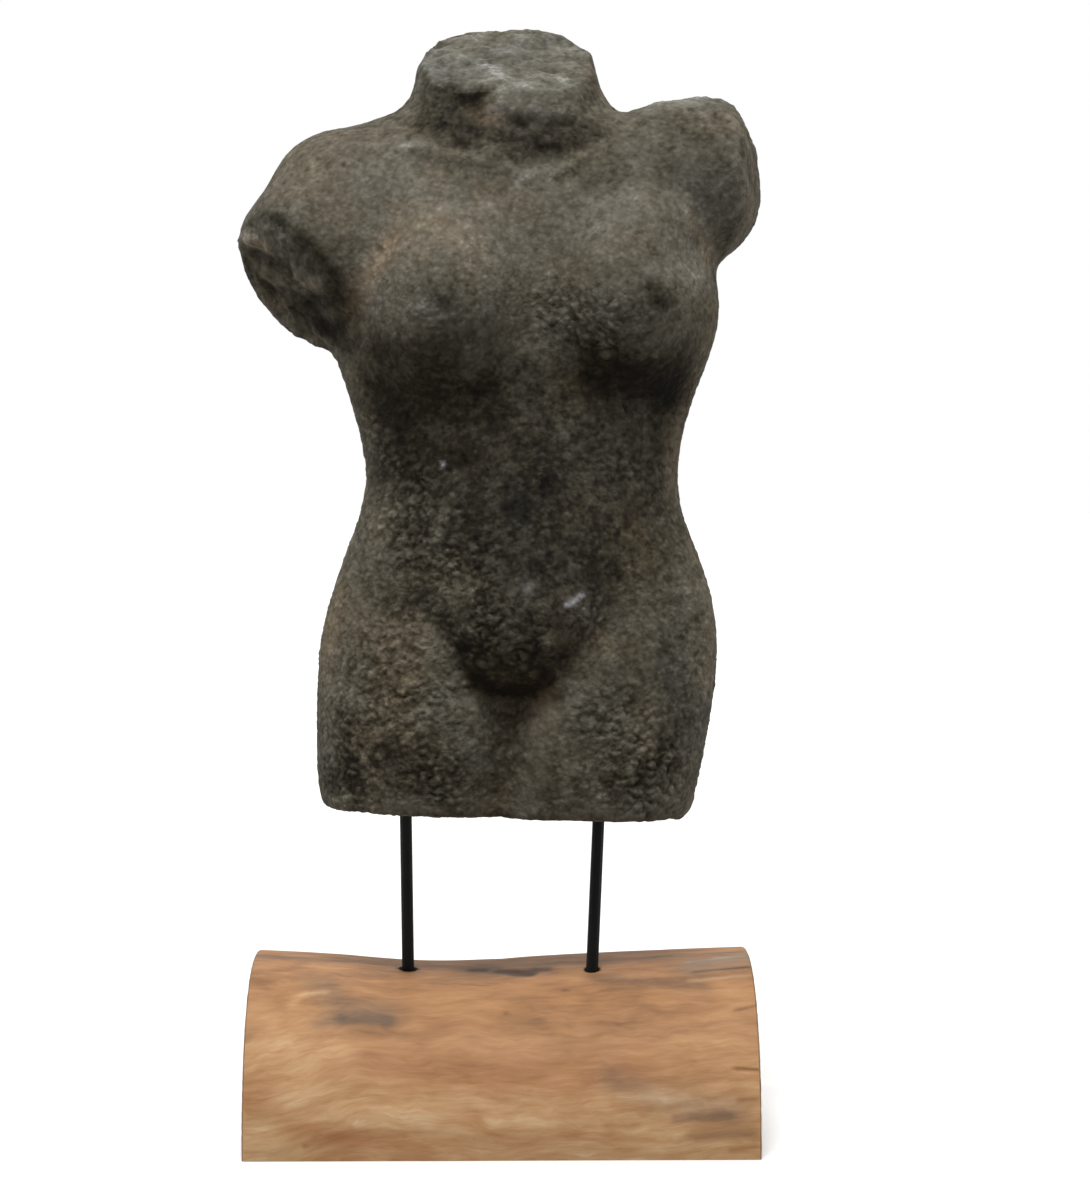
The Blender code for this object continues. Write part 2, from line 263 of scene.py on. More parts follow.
class Finish:  # one material and its nodes
    def __init__(self, name):
        self.material = bpy.data.materials.new(name)
        self.material.use_nodes = True
        self.tree = self.material.node_tree
        self.shader = self.tree.nodes["Principled BSDF"]

    def node(self, kind, settings=None, inputs=None, output=0):
        made = self.tree.nodes.new(kind)
        for name, value in (settings or {}).items():
            if name == "stops":
                ramp = made.color_ramp.elements
                while len(ramp) < len(value):
                    ramp.new(0.5)
                for stop, (place, colour) in zip(ramp, value):
                    stop.position, stop.color = place, colour
            else:
                setattr(made, name, value)
        for name, value in (inputs or {}).items():
            if isinstance(value, Wire):
                self.tree.links.new(value.socket, made.inputs[name])
            else:
                made.inputs[name].default_value = value
        return Wire(self, made.outputs[output])

    def mix(self, share, first, second, blend="MIX"):  # colours go in at sockets 6 and 7 and come out at 2
        settings = {"data_type": "RGBA", "blend_type": blend, "clamp_factor": True}
        return self.node("ShaderNodeMix", settings, {0: share, 6: first, 7: second}, 2)

    def ramp(self, value, stops):
        return self.node("ShaderNodeValToRGB", {"stops": stops}, {"Fac": value}, "Color")

    def noise(self, place, size, detail=2.0, roughness=0.55, distortion=0.0):  # size is a feature's width
        shape = {"Detail": detail, "Roughness": roughness, "Distortion": distortion}
        return self.node("ShaderNodeTexNoise", {}, {"Vector": place, "Scale": 1 / size, **shape}, 0)

    def cells(self, place, size):  # 0 in the middle of each cell
        return self.node("ShaderNodeTexVoronoi", {}, {"Vector": place, "Scale": 1 / size}, 0)

    def painted(self, name, output):  # what the mesh's vertices carry under a name
        return self.node("ShaderNodeAttribute", {"attribute_name": name}, {}, output)

    def stretched(self, place, scale):
        return self.node("ShaderNodeMapping", {}, {"Vector": place, "Scale": scale})

    def bump(self, height, depth, strength=1.0):
        return self.node("ShaderNodeBump", {}, {"Height": height, "Distance": depth, "Strength": strength})

    def set(self, **values):  # sockets of the shader itself, such as Base_Color
        for name, value in values.items():
            socket = self.shader.inputs[name.replace("_", " ")]
            if isinstance(value, Wire):
                self.tree.links.new(value.socket, socket)
            else:
                socket.default_value = value


def tone(red, green, blue):  # display numbers from 0 to 255, as linear light
    parts = [c / 255 for c in (red, green, blue)]
    return tuple(c / 12.92 if c <= 0.04045 else ((c + 0.055) / 1.055) ** 2.4 for c in parts) + (1.0,)


# Stone torso
stoneLook = {
    "voxel": 0.00118,
    "trianglesKept": 196000,
    "swell": 0.0004,  # slow unevenness of a hand-worked surface
    "slowSize": 0.028,
    "crumb": 0.0060,  # width of the coarse crumbs
    "smallCrumb": 0.55,  # width of the crumbs between them, as a share
    "crumbShares": (0.66, 0.34),
    "crumbHeight": 0.00240,
    "crumbFlatness": (0.85, 1.0, 1.25),
    "crumbWarp": (0.006, 0.0016),  # size and reach of the warp that keeps crumbs from being round
    "coarseness": (0.24, 0.20, 0.33, 0.47),  # all over, more in the lower half, and where that fades
    "patchSize": 0.020,
    "pore": 0.0034,
    "poreDepth": 0.0006,
    "chipSize": 0.015,
    "markStray": (0.016, 0.0016),  # size and reach of the sway that keeps marks from being too even
    "cloudSize": 0.034,
    "tintSize": 0.042,
    "shares": {  # of dark, pale and warm, where the shape alone calls for them; the undersides, tops and rod mouths take painted shade and painted highlight
        "clouds": 0.16, "shadedUndersides": 0.10, "leftBreak": 0.06, "rodMouthShade": 0.80,
        "neckPale": 0.26, "topsHighlight": 0.06, "tints": 0.45, "neckCool": 0.40,
    },
    "breakRoughness": {"neck": 0.0024, "left": 0.0026, "right": 0.0010},
    "breakNormals": {"neck": (0.0, -0.54, 0.84), "left": (-0.64, -0.53, -0.56), "right": (0.975, -0.2, 0.08)},
    "breakFacing": (0.72, 0.93),  # how squarely the skin looks along a break's normal where it shows
    "neckFloor": (0.5485, 0.5585),  # the neck's broken faces fade in between these heights
    "leftBreak": ((0.070, 0.082), (0.400, 0.420)),  # the same, outwards and upwards
    "rightBreak": ((0.118, 0.126), (0.440, 0.455)),
    "socketRadius": 0.0036,
    "socketDepth": 0.0603,
    "floorReach": 0.020,  # a socket's floor lies within this of its rod's end
    "drillRun": 0.030,  # how far below the stone the drill starts
    "mouthShade": 0.0046,
    "grainSizes": (0.0011, 0.0030, 0.0052, 0.0095),  # single grains up to blots
    "grainShares": (0.04, 0.32, 0.38, 0.30),
    "spotSize": 0.0042,
    "pinholeSize": 0.0030,
    "grainDepth": 0.0010,
}

# Marks on the stone. Pixels are the photograph's, width and lift are metres, the rest are shares
stoneMarks = {
    # pale on the broken neck's raised lumps and dark in its hollows are painted highlight and painted shade
    "neckLumpA": stroke([(457, 56), (462, 60)], 0.006, lift=0.0018, pale=0.5),
    "neckLumpB": stroke([(486, 68), (500, 76)], 0.006, lift=0.0018, pale=0.75),
    "neckLumpC": stroke([(526, 92), (540, 96)], 0.006, lift=0.002, pale=0.55),
    "neckLumpD": stroke([(560, 80), (573, 92)], 0.006, lift=0.0018, pale=0.7),
    "neckLumpE": stroke([(500, 102), (528, 110)], 0.005, lift=0.0014, pale=0.45),
    "neckRimLeft": stroke([(426, 54), (434, 44)], 0.007, lift=-0.0026),
    "neckRimTop": stroke([(452, 34), (462, 32)], 0.006, lift=-0.0016),
    "neckRimRight": stroke([(554, 27), (570, 32)], 0.0085, lift=-0.0036),
    "neckWarm": stroke([(474, 112), (494, 120)], 0.006, warm=0.7),
    "neckCrown": stroke([(516, 36), (538, 36)], 0.01, lift=0.003),
    "neckLumpF": stroke([(500, 108), (530, 113), (562, 110)], 0.007, lift=0.0018, pale=0.95),
    "neckTop": stroke([(455, 44), (505, 36), (548, 38)], 0.008, pale=0.2),
    "neckHollowA": stroke([(446, 88), (456, 94), (470, 100)], 0.0075, lift=-0.0034, dark=0.7),
    "neckDip": stroke([(430, 104), (444, 108)], 0.007, dark=0.16),
    "neckHollowB": stroke([(519, 121), (526, 124)], 0.004, lift=-0.002, dark=0.5),
    "neckHollowC": stroke([(550, 126), (568, 123)], 0.004, lift=-0.0022, dark=0.38),
    "neckHollowD": stroke([(457, 143), (462, 145)], 0.004, lift=-0.001, dark=0.45),
    "neckHollowE": stroke([(540, 148), (556, 150)], 0.004, lift=-0.0012, dark=0.45),
    "neckHollowF": stroke([(470, 82), (486, 92), (498, 84)], 0.0026, lift=-0.0014, dark=0.4),
    "neckHollowG": stroke([(545, 68), (556, 72)], 0.003, lift=-0.0013, dark=0.4),
    # painted shade under the neck
    "neckUnderShade": stroke([(430, 126), (470, 134), (500, 138), (560, 138), (588, 130)], 0.0095, dark=0.56),
    "collarLeft": stroke(
        [(398, 147), (420, 147), (446, 155), (468, 159), (488, 162)],
        0.0028, lift=0.0011, pale=0.62,
    ),
    "collarRight": stroke(
        [(508, 168), (530, 175), (556, 169), (580, 159), (604, 144)],
        0.0034, lift=0.0009, pale=0.4,
    ),
    # painted shade under the right collar ridge
    "collarUnderShade": stroke([(556, 177), (580, 168)], 0.0022, lift=-0.0004, dark=0.28),
    "collarHollow": stroke([(518, 157), (556, 153)], 0.007, dark=0.14),
    "throatPit": stroke([(514, 172), (520, 186)], 0.005, pale=0.3),
    "rightFace": stroke([(738, 150), (744, 196)], 0.01, pale=0.3),
    # dark along the left stump's edges, in its hollows and grooves and under it is painted shade; its pale
    # lumps are a warmer, paler stone lightened further by painted highlight
    "stumpEdge": stroke([(276, 222), (296, 234), (312, 246), (324, 262)], 0.0048, lift=-0.0007, dark=0.4),
    "stumpEdgeLow": stroke([(334, 272), (340, 290), (336, 310)], 0.004, lift=-0.0007, dark=0.3),
    "stumpRidgeA": stroke([(252, 242), (268, 248)], 0.0044, lift=0.0024, pale=1.3, warm=0.9),
    "stumpRidgeB": stroke([(254, 256), (272, 262), (290, 275)], 0.0034, lift=-0.002, dark=0.6),
    "stumpRidgeC": stroke([(264, 272), (276, 284)], 0.0046, lift=0.0018, pale=0.26, warm=0.3),
    "stumpHollowA": stroke([(308, 306), (324, 304)], 0.0056, lift=-0.0026, dark=0.75),
    "stumpHollowB": stroke([(329, 284), (335, 302)], 0.0046, lift=-0.0016, dark=0.4),
    "stumpLump": stroke([(300, 278), (318, 288)], 0.0055, lift=0.0018, pale=0.62, warm=0.2),
    "stumpHollowC": stroke([(268, 222), (284, 236), (296, 250)], 0.005, lift=-0.0018, dark=0.12),
    "stumpLowShade": stroke([(296, 314), (318, 326), (342, 328)], 0.0075, lift=0.0004, dark=0.54),
    "stumpSide": stroke([(250, 274), (270, 288)], 0.008, dark=0.56),
    "stumpTopLight": stroke([(246, 226), (252, 236)], 0.007, pale=0.44),
    # painted shade under the left arm stump
    "underArmShade": stroke([(322, 328), (348, 350), (388, 346)], 0.007, dark=0.28),
    "rightRidge": stroke([(728, 118), (742, 134), (750, 156)], 0.0034, lift=0.001, pale=0.45),
    "rightBlotch": stroke([(706, 138), (718, 150)], 0.008, dark=0.2),
    # painted shadow under the right stump
    "rightUnderShadow": stroke([(744, 212), (730, 236)], 0.007, lift=-0.0006, dark=0.2),
    "rightInner": stroke([(690, 214), (712, 226), (706, 262), (690, 276)], 0.011, pale=0.58),
    # painted highlight on the right shoulder's top
    "shoulderHighlightRight": stroke([(658, 108), (684, 106)], 0.008, pale=0.48),
    "rightFold": stroke([(716, 198), (730, 212)], 0.008, pale=0.2),
    "nippleLeft": stroke([(444, 292)], 0.0046, lift=0.002),
    "areolaLeft": stroke([(434, 290), (448, 294)], 0.007, dark=0.26, warm=-0.3),
    "nippleRight": stroke([(664, 297)], 0.004, lift=0.002),
    "areolaRight": stroke([(658, 296), (668, 300)], 0.006, dark=0.5),
    "pitRight": stroke([(650, 286)], 0.0022, lift=-0.001, dark=0.4),
    # painted shade under the breasts and in the creases beneath them
    "breastLeftShade": stroke([(384, 356), (404, 362), (440, 354)], 0.0125, dark=0.43),
    "creaseLeftShade": stroke([(378, 388), (400, 396), (430, 392)], 0.012, dark=0.46),
    "breastRightShade": stroke([(606, 356), (640, 366), (684, 366)], 0.012, dark=0.46),
    "creaseRightShade": stroke([(594, 380), (632, 390), (674, 386)], 0.011, dark=0.66),
    "underRightShade": stroke([(624, 370), (642, 372)], 0.007, dark=0.3),
    "roughInner": stroke([(552, 308), (574, 320), (600, 340)], 0.013, pale=0.16, coarse=1),
    "sternum": stroke([(550, 316), (552, 340)], 0.006, pale=0.14, coarse=0.5),
    "sternumLow": stroke([(488, 386), (506, 372), (546, 374)], 0.013, dark=0.26),
    "sternumSide": stroke([(478, 404), (504, 430)], 0.013, dark=0.26),
    "armpitLeft": stroke([(346, 318), (362, 284), (392, 240)], 0.007, pale=0.18, warm=0.75),
    "armpitRight": stroke([(688, 214), (704, 244), (708, 262)], 0.006, pale=0.15, warm=0.6),
    # paler, warmer flanks: partly painted light from the sides, partly a warmer patina
    "flankLeft": stroke([(372, 420), (360, 500), (338, 580), (326, 680)], 0.011, pale=0.25, warm=0.35),
    "flankRight": stroke([(676, 440), (684, 510), (708, 590), (708, 680)], 0.011, pale=0.25, warm=0.35),
    "waist": stroke([(390, 446), (500, 436), (610, 452)], 0.027, dark=0.34, warm=-0.18),
    "waistLeft": stroke([(388, 412), (404, 428)], 0.011, dark=0.34),
    "waistRight": stroke([(664, 390), (662, 440), (656, 500)], 0.009, dark=0.24),
    "belly": stroke([(500, 500), (640, 525)], 0.025, dark=0.28),
    "breastMidLeft": stroke([(396, 308), (430, 312), (480, 304)], 0.012, pale=0.4, coarse=0.25),
    "breastMidRight": stroke([(610, 310), (636, 320)], 0.011, pale=0.1, coarse=0.45),
    "breastSideRight": stroke([(652, 272), (676, 262)], 0.007, pale=0.26),
    # painted highlight across the upper chest
    "chestHighlight": stroke([(400, 202), (470, 216), (540, 216), (640, 196)], 0.028, pale=0.5),
    "throatPale": stroke([(500, 182), (546, 184)], 0.01, pale=0.28),
    "collarWashRight": stroke([(604, 172), (640, 176), (668, 178)], 0.013, dark=0.28),
    "collarWashLeft": stroke([(400, 196), (446, 190)], 0.012, dark=0.12),
    "cleavage": stroke([(522, 226), (526, 262), (524, 304)], 0.011, pale=0.24),
    # painted highlight on the breasts' upper sides and the left breast's outer edge
    "breastTopLeftLight": stroke([(396, 256), (444, 246), (490, 266)], 0.015, pale=0.28),
    "breastTopRightLight": stroke([(600, 250), (650, 262)], 0.014, pale=0.04),
    "breastEdgeLeftLight": stroke([(374, 262), (368, 296)], 0.008, pale=0.72),
    # painted highlight on the left shoulder's top
    "shoulderHighlightLeft": stroke([(316, 178), (370, 166)], 0.023, pale=0.34),
    "shoulderWashRight": stroke([(646, 142), (690, 164)], 0.016, pale=0.08, warm=-0.3),
    "thighsWash": stroke([(392, 752), (420, 770), (446, 784)], 0.012, dark=0.46),
    "thighsPale": stroke([(438, 724), (446, 744)], 0.01, pale=0.2),
    "bellyWash": stroke(
        [(528, 506), (530, 544), (556, 560), (590, 568)],
        0.016, dark=0.42, warm=-0.7, coarse=-0.1,
    ),
    "bellyWashLow": stroke([(490, 562), (536, 580)], 0.0105, dark=0.26, warm=-0.3),
    "bellyCool": stroke([(546, 456), (558, 474)], 0.009, dark=0.24, warm=-0.4),
    "bellyRim": stroke([(604, 588), (614, 580)], 0.008, dark=0.24),
    "bellyShade": stroke([(410, 474), (434, 490), (448, 470), (462, 458)], 0.0095, dark=0.34),
    "bellyShadeLow": stroke([(466, 514), (470, 542)], 0.009, dark=0.34),
    "bellyLeft": stroke([(410, 530), (440, 560), (476, 572)], 0.015, dark=0.24, coarse=0.9),
    "bellySide": stroke([(396, 470), (400, 520)], 0.016, coarse=0.5),
    "cornerLeft": stroke([(316, 806), (324, 812)], 0.008, lift=-0.005),
    "cornerRight": stroke([(686, 816), (697, 806)], 0.009, lift=0.005),
    "shoulderTopRight": stroke([(674, 106), (704, 102)], 0.012, lift=0.0018),
    "spot": stroke([(444, 465)], 0.0014, lift=0.0004, chip=0.9),
    "moundTop": stroke([(478, 588), (510, 584), (545, 590)], 0.004, lift=0.0006, pale=0.2),
    # painted shade under the mound
    "moundShade": stroke([(478, 650), (512, 664), (540, 652)], 0.0125, dark=0.56, coarse=0.5),
    "moundUpper": stroke([(490, 608), (516, 618), (590, 612)], 0.0105, dark=0.34, coarse=0.4),
    "moundSide": stroke([(478, 622), (488, 634)], 0.008, pale=0.14, coarse=0.3),
    "moundDip": stroke([(534, 632), (544, 640)], 0.007, pale=0.56),
    # painted shade in the crease along the mound's V, with a warm tint below it
    "vee": stroke(
        [(444, 614), (454, 640), (478, 680), (514, 694), (536, 686), (560, 664), (586, 634)],
        0.0058, lift=-0.0004, dark=0.38,
    ),
    "veeSide": stroke([(562, 674), (572, 690)], 0.008, pale=0.34),
    "veeLow": stroke([(480, 682), (512, 689), (542, 683)], 0.008, dark=0.6, warm=0.75),
    "veeFoot": stroke([(486, 694), (512, 700), (538, 695)], 0.006, lift=0.001),
    "chipA": stroke([(566, 604), (572, 601)], 0.0014, lift=-0.0005, chip=1),
    "chipB": stroke([(576, 598), (582, 595)], 0.0014, lift=-0.0004, chip=0.9),
    "chipPatch": stroke([(574, 609), (592, 612)], 0.0038, pale=0.4, warm=-0.45),
    "chipC": stroke([(528, 588), (534, 586)], 0.0022, chip=0.14),
    "groove": stroke([(510, 716), (500, 750), (494, 812)], 0.0075, lift=-0.0004, dark=0.2, warm=0.45),
    "grooveTop": stroke([(500, 708), (514, 712)], 0.007, pale=0.4),
    "innerThigh": stroke([(540, 716), (534, 770)], 0.011, pale=0.18, warm=0.3, coarse=-0.4),
    "thighBand": stroke([(584, 736), (606, 706), (636, 668)], 0.009, dark=0.16, coarse=-0.35),
    "thighWarm": stroke([(372, 640), (392, 690)], 0.016, warm=0.4),
    "bellyRightWarm": stroke([(640, 520), (632, 560)], 0.015, warm=0.35),
    "hipLeft": stroke([(400, 640), (360, 720), (350, 770)], 0.024, coarse=0.6),
    "thighLeft": stroke([(430, 700), (440, 780)], 0.02, coarse=0.5),
    "thighLeftDark": stroke([(326, 776), (340, 784)], 0.011, dark=0.24),
    "thighLeftWash": stroke([(348, 730), (350, 760), (356, 784)], 0.011, dark=0.32),
    "thighRight": stroke([(610, 720), (650, 780)], 0.021, coarse=0.8),
    "thighRightDark": stroke([(548, 786), (590, 784), (634, 780)], 0.01, dark=0.26),
    "thighSideDark": stroke([(680, 728), (662, 756)], 0.01, dark=0.3),
    # painted light along the bottom rim, against its shading
    "rimLightLeft": stroke([(334, 804), (380, 806), (424, 806)], 0.006, pale=0.62),
    "rimLightMiddle": stroke([(480, 808), (520, 810)], 0.006, pale=0.44),
    "rimLightRight": stroke([(600, 806), (660, 810), (694, 806)], 0.007, pale=0.4),
    "hipRightCool": stroke([(668, 675), (680, 690)], 0.01, dark=0.2, warm=-0.4),
    "thighLumps": stroke([(586, 768), (600, 790)], 0.005, pale=0.3, coarse=0.5),
    "chestSmooth": stroke([(430, 190), (540, 210), (650, 190)], 0.028, coarse=-0.25),
}

# Marks out of the camera's sight, as places in metres
stoneBackMarks = {
    "spineWash": stroke(
        [(0.004, 0.05, 0.515), (0.007, 0.05, 0.44), (0.01, 0.04, 0.35), (0.009, 0.04, 0.31)],
        0.012, dark=0.4,
    ),
    "cleftWash": stroke([(0.009, 0.04, 0.29), (0.007, 0.04, 0.23), (0.005, 0.04, 0.18)], 0.01, dark=0.45),
    "foldLeft": stroke([(-0.02, 0.04, 0.205), (-0.06, 0.04, 0.198), (-0.09, 0.03, 0.205)], 0.01, dark=0.3),
    "foldRight": stroke([(0.03, 0.04, 0.205), (0.07, 0.04, 0.198), (0.1, 0.03, 0.205)], 0.01, dark=0.3),
    "bladesPale": stroke([(-0.045, 0.05, 0.49), (0.055, 0.05, 0.49)], 0.035, pale=0.42),
    "loinsWash": stroke([(-0.04, 0.035, 0.36), (0.06, 0.035, 0.36)], 0.028, dark=0.2, coarse=0.3),
    "seatLeft": stroke([(-0.045, 0.065, 0.265)], 0.032, pale=0.3, coarse=0.5),
    "seatRight": stroke([(0.058, 0.065, 0.265)], 0.032, pale=0.3, coarse=0.4),
    "backThighs": stroke([(-0.05, 0.035, 0.195), (0.06, 0.035, 0.195)], 0.02, coarse=0.6),
}


def stoneBlank():  # the solid without its sockets, rounded and cut into an even fine skin
    bm = mergedCopy("stone_torso")
    for low, high in rods.values():
        deep = []
        for vertex in bm.verts:
            aside = math.hypot(vertex.co.x - high.x, vertex.co.y - high.y)
            if aside < 2 * stoneLook["socketRadius"] and vertex.co.z > high.z - stoneLook["floorReach"]:
                deep.append(vertex)
        bmesh.ops.delete(bm, geom=deep, context="VERTS")
    bmesh.ops.holes_fill(bm, edges=[edge for edge in bm.edges if edge.is_boundary])
    bmesh.ops.triangulate(bm, faces=[face for face in bm.faces if len(face.verts) > 4])
    bmesh.ops.recalc_face_normals(bm, faces=bm.faces)
    marker = Marker(bm)
    mesh = bpy.data.meshes.new("stoneTorso")
    bm.to_mesh(mesh)
    bm.free()
    stone = linkedObject("stoneTorso", mesh)
    rounding = stone.modifiers.new("rounding", "SUBSURF")
    rounding.levels = rounding.render_levels = 2
    skin = stone.modifiers.new("skin", "REMESH")
    skin.mode = "VOXEL"
    skin.voxel_size = stoneLook["voxel"]
    easing = stone.modifiers.new("easing", "SMOOTH")
    easing.factor, easing.iterations = 0.5, 3
    applyModifiers(stone)
    return stone, marker


def brokenFaces(places, facings):
    masks = {}
    for name, normal in stoneLook["breakNormals"].items():
        facing = facings @ (np.array(normal) / np.linalg.norm(normal))
        masks[name] = eased(facing, *stoneLook["breakFacing"])
    masks["neck"] *= eased(places[:, 2], *stoneLook["neckFloor"])
    for name, side in (("left", -1), ("right", 1)):
        outwards, upwards = stoneLook[name + "Break"]
        masks[name] *= eased(side * places[:, 0], *outwards) * eased(places[:, 2], *upwards)
    return masks


def stoneWeights(places, marker):
    size, reach = stoneLook["markStray"]
    strayed = places + reach * sampled(places, size, noise.noise_vector)
    weights = strokeWeights(strayed, marker, stoneMarks)
    for name, mark in stoneBackMarks.items():
        weights[name] = strokeWeight(strayed, np.array(mark["line"]), mark["width"])
    return weights


def allTotal(weights, quality):
    return total(weights, {**stoneMarks, **stoneBackMarks}, quality)


def crumble(place):  # 0 in the sharp creases, towards 1 on the crumbs between them, each of its own height
    gaps, seeds = noise.voronoi(place)
    tall = 0.70 + 0.30 * noise.cell(seeds[0] * 7.0)
    return 0.45 * min(1.0, 2.4 * abs(noise.noise(place))) + 0.55 * tall * min(1.0, 2.2 * (gaps[1] - gaps[0]))


def carveStone(stone, marker):
    mesh = stone.data
    places, facings = vertexShape(mesh)
    weights = stoneWeights(places, marker)
    broken = brokenFaces(places, facings)
    brokenAll = np.clip(sum(broken.values()), 0, 1)
    patches = sampled(places, stoneLook["patchSize"], lambda place: noise.fractal(place, 0.9, 2.1, 3))
    everywhere, lower, start, end = stoneLook["coarseness"]
    base = everywhere + lower * (1 - eased(places[:, 2], start, end))
    coarse = np.clip(base + 0.30 * patches + allTotal(weights, "coarse"), 0.04, 1.15)
    size, reach = stoneLook["crumbWarp"]
    warp = sampled(places, size, noise.noise_vector) * reach
    flattened = (places + warp) * stoneLook["crumbFlatness"]
    crumbs = sampled(flattened, stoneLook["crumb"], crumble)
    small = sampled(flattened, stoneLook["crumb"] * stoneLook["smallCrumb"], crumble)
    wide, narrow = stoneLook["crumbShares"]
    crumbs = wide * crumbs + narrow * small
    pores = sampled(places, stoneLook["pore"], noise.noise)
    slow = sampled(places, stoneLook["slowSize"], noise.noise)
    squat = places * (1.0, 1.0, 1.5)
    chips = sampled(squat, stoneLook["chipSize"], lambda place: noise.fractal(place, 1.0, 2.1, 4))
    height = stoneLook["swell"] * slow
    height += stoneLook["crumbHeight"] * coarse * (crumbs - 0.55)
    height -= stoneLook["poreDepth"] * eased(pores, 0.42, 0.75) * (0.25 + coarse)
    height += sum(stoneLook["breakRoughness"][name] * broken[name] for name in broken) * (chips - 0.2)
    height += allTotal(weights, "lift")
    places += facings * height[:, None]
    mesh.vertices.foreach_set("co", places.ravel())
    relief = 0.5 + (crumbs - 0.45) * np.clip(coarse, 0, 1) * (1 - brokenAll) + 0.24 * brokenAll * chips
    for name, values in (("relief", relief), ("grit", np.maximum(coarse, 0.5 * brokenAll))):
        layer = mesh.attributes.new(name, "FLOAT", "POINT")
        layer.data.foreach_set("value", np.clip(values, 0, 1).astype(np.float32))
    mesh.update()
    thinned = stone.modifiers.new("thinned", "DECIMATE")
    mesh.calc_loop_triangles()
    thinned.ratio = min(1.0, stoneLook["trianglesKept"] / len(mesh.loop_triangles))
    applyModifiers(stone)


def drillStone(stone):
    depth, radius, run = stoneLook["socketDepth"], stoneLook["socketRadius"], stoneLook["drillRun"]
    cutters = []
    for name, (low, high) in rods.items():
        start = high - (high - low).normalized() * depth
        profile = ((-run, 0.0), (-run, radius), (depth, radius), (depth, 0.0))
        cutters.append(turnedCutter(f"{name}Drill", start, high, profile))
    drilled(stone, cutters)


def paintStone(stone, marker):
    mesh = stone.data
    places, facings = vertexShape(mesh)
    weights = stoneWeights(places, marker)
    broken = brokenFaces(places, facings)
    share = stoneLook["shares"]
    clouds = sampled(places, stoneLook["cloudSize"], lambda place: noise.fractal(place, 0.8, 2.0, 4))
    dark = allTotal(weights, "dark") + share["clouds"] * clouds
    dark += share["shadedUndersides"] * eased(-facings[:, 2], 0.20, 0.90)  # painted shade on surfaces facing down
    dark += share["leftBreak"] * broken["left"]
    # painted shade in the socket mouths around the rods
    for low, high in rods.values():
        gap = axisDistance(places, np.array(low), np.array(high))
        dark += share["rodMouthShade"] * np.exp(-((gap / stoneLook["mouthShade"]) ** 2))
    pale = allTotal(weights, "pale") + share["neckPale"] * broken["neck"]
    # painted highlight on surfaces facing up
    pale += share["topsHighlight"] * eased(facings[:, 2], 0.3, 0.9)
    tints = sampled(places + 0.5, stoneLook["tintSize"], lambda place: noise.fractal(place, 0.8, 2.0, 3))
    tints = allTotal(weights, "warm") + share["tints"] * tints - share["neckCool"] * broken["neck"]
    warm = 0.5 + 0.5 * tints  # half is neither warm nor cool
    chip = allTotal(weights, "chip")
    # The patina colours also carry painted shade and painted highlight besides the stone's own patina
    paintVertices(mesh, "patina", (dark, pale, warm, chip))


def stoneFinish():
    finish = Finish("weatheredStone")
    place = finish.node("ShaderNodeTexCoord", {}, {}, "Object")
    patina = finish.painted("patina", "Color")
    chip = finish.painted("patina", "Alpha")
    dark, pale, warm = [finish.node("ShaderNodeSeparateColor", {}, {"Color": patina}, k) for k in range(3)]
    relief = finish.painted("relief", "Fac")
    grit = finish.painted("grit", "Fac")
    sizes, shares = stoneLook["grainSizes"], stoneLook["grainShares"]
    dust = finish.noise(place, sizes[0], 2.0, 0.65)
    specks = finish.noise(place, sizes[1], 2.0, 0.60)
    grains = finish.noise(place, sizes[2], 1.0, 0.5, 0.3)
    blots = finish.noise(place, sizes[3], 2.0, 0.60)
    spots = finish.noise(place, stoneLook["spotSize"], 1.0).between(0.54, 0.68)  # small dark places
    pinholes = finish.cells(place, stoneLook["pinholeSize"])
    light = 0.60
    for share, pattern in zip(shares, (dust, specks, grains, blots)):
        light = light + share * (pattern - 0.5)
    # crumb tops lighter and creases darker: painted highlight and painted shade, with some dirt in the
    # creases
    light = light + 0.62 * (relief - 0.5) - 0.16 * (pinholes - 0.42) - 0.08 * spots
    light = light - dark * (0.84 - 0.50 * relief) + 0.34 * pale
    stops = [
        (0.00, tone(17, 14, 9)),
        (0.22, tone(44, 39, 30)),
        (0.45, tone(76, 71, 59)),
        (0.66, tone(105, 99, 86)),
        (0.84, tone(128, 122, 109)),
        (1.00, tone(160, 156, 146)),
    ]
    colour = finish.ramp(light, stops)
    colour = finish.mix(1.2 * (warm - 0.5), colour, tone(214, 189, 162), "OVERLAY")
    colour = finish.mix(1.4 * (0.5 - warm), colour, tone(172, 188, 206), "OVERLAY")
    colour = finish.mix(chip, colour, tone(176, 174, 176))
    height = 0.05 * dust + 0.44 * specks + 0.46 * grains - 0.34 * pinholes.between(0.1, 0.7) - 0.2 * spots
    height = (0.45 + 0.55 * grit) * height
    finish.set(
        Base_Color=colour,
        Roughness=0.86 + 0.10 * (specks - 0.5),
        Normal=finish.bump(height, stoneLook["grainDepth"], 1.0),
        Specular_IOR_Level=0.12,
    )
    return finish.material


def makeStone():
    stone, marker = stoneBlank()
    carveStone(stone, marker)
    drillStone(stone)
    paintStone(stone, marker)
    stone.data.materials.clear()
    stone.data.materials.append(stoneFinish())
    stone.data.shade_smooth()
    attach(stone, "root")
    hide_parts("stone_torso")
    stone.data.calc_loop_triangles()
    print("stone carved:", len(stone.data.loop_triangles), "triangles")


makeStone()

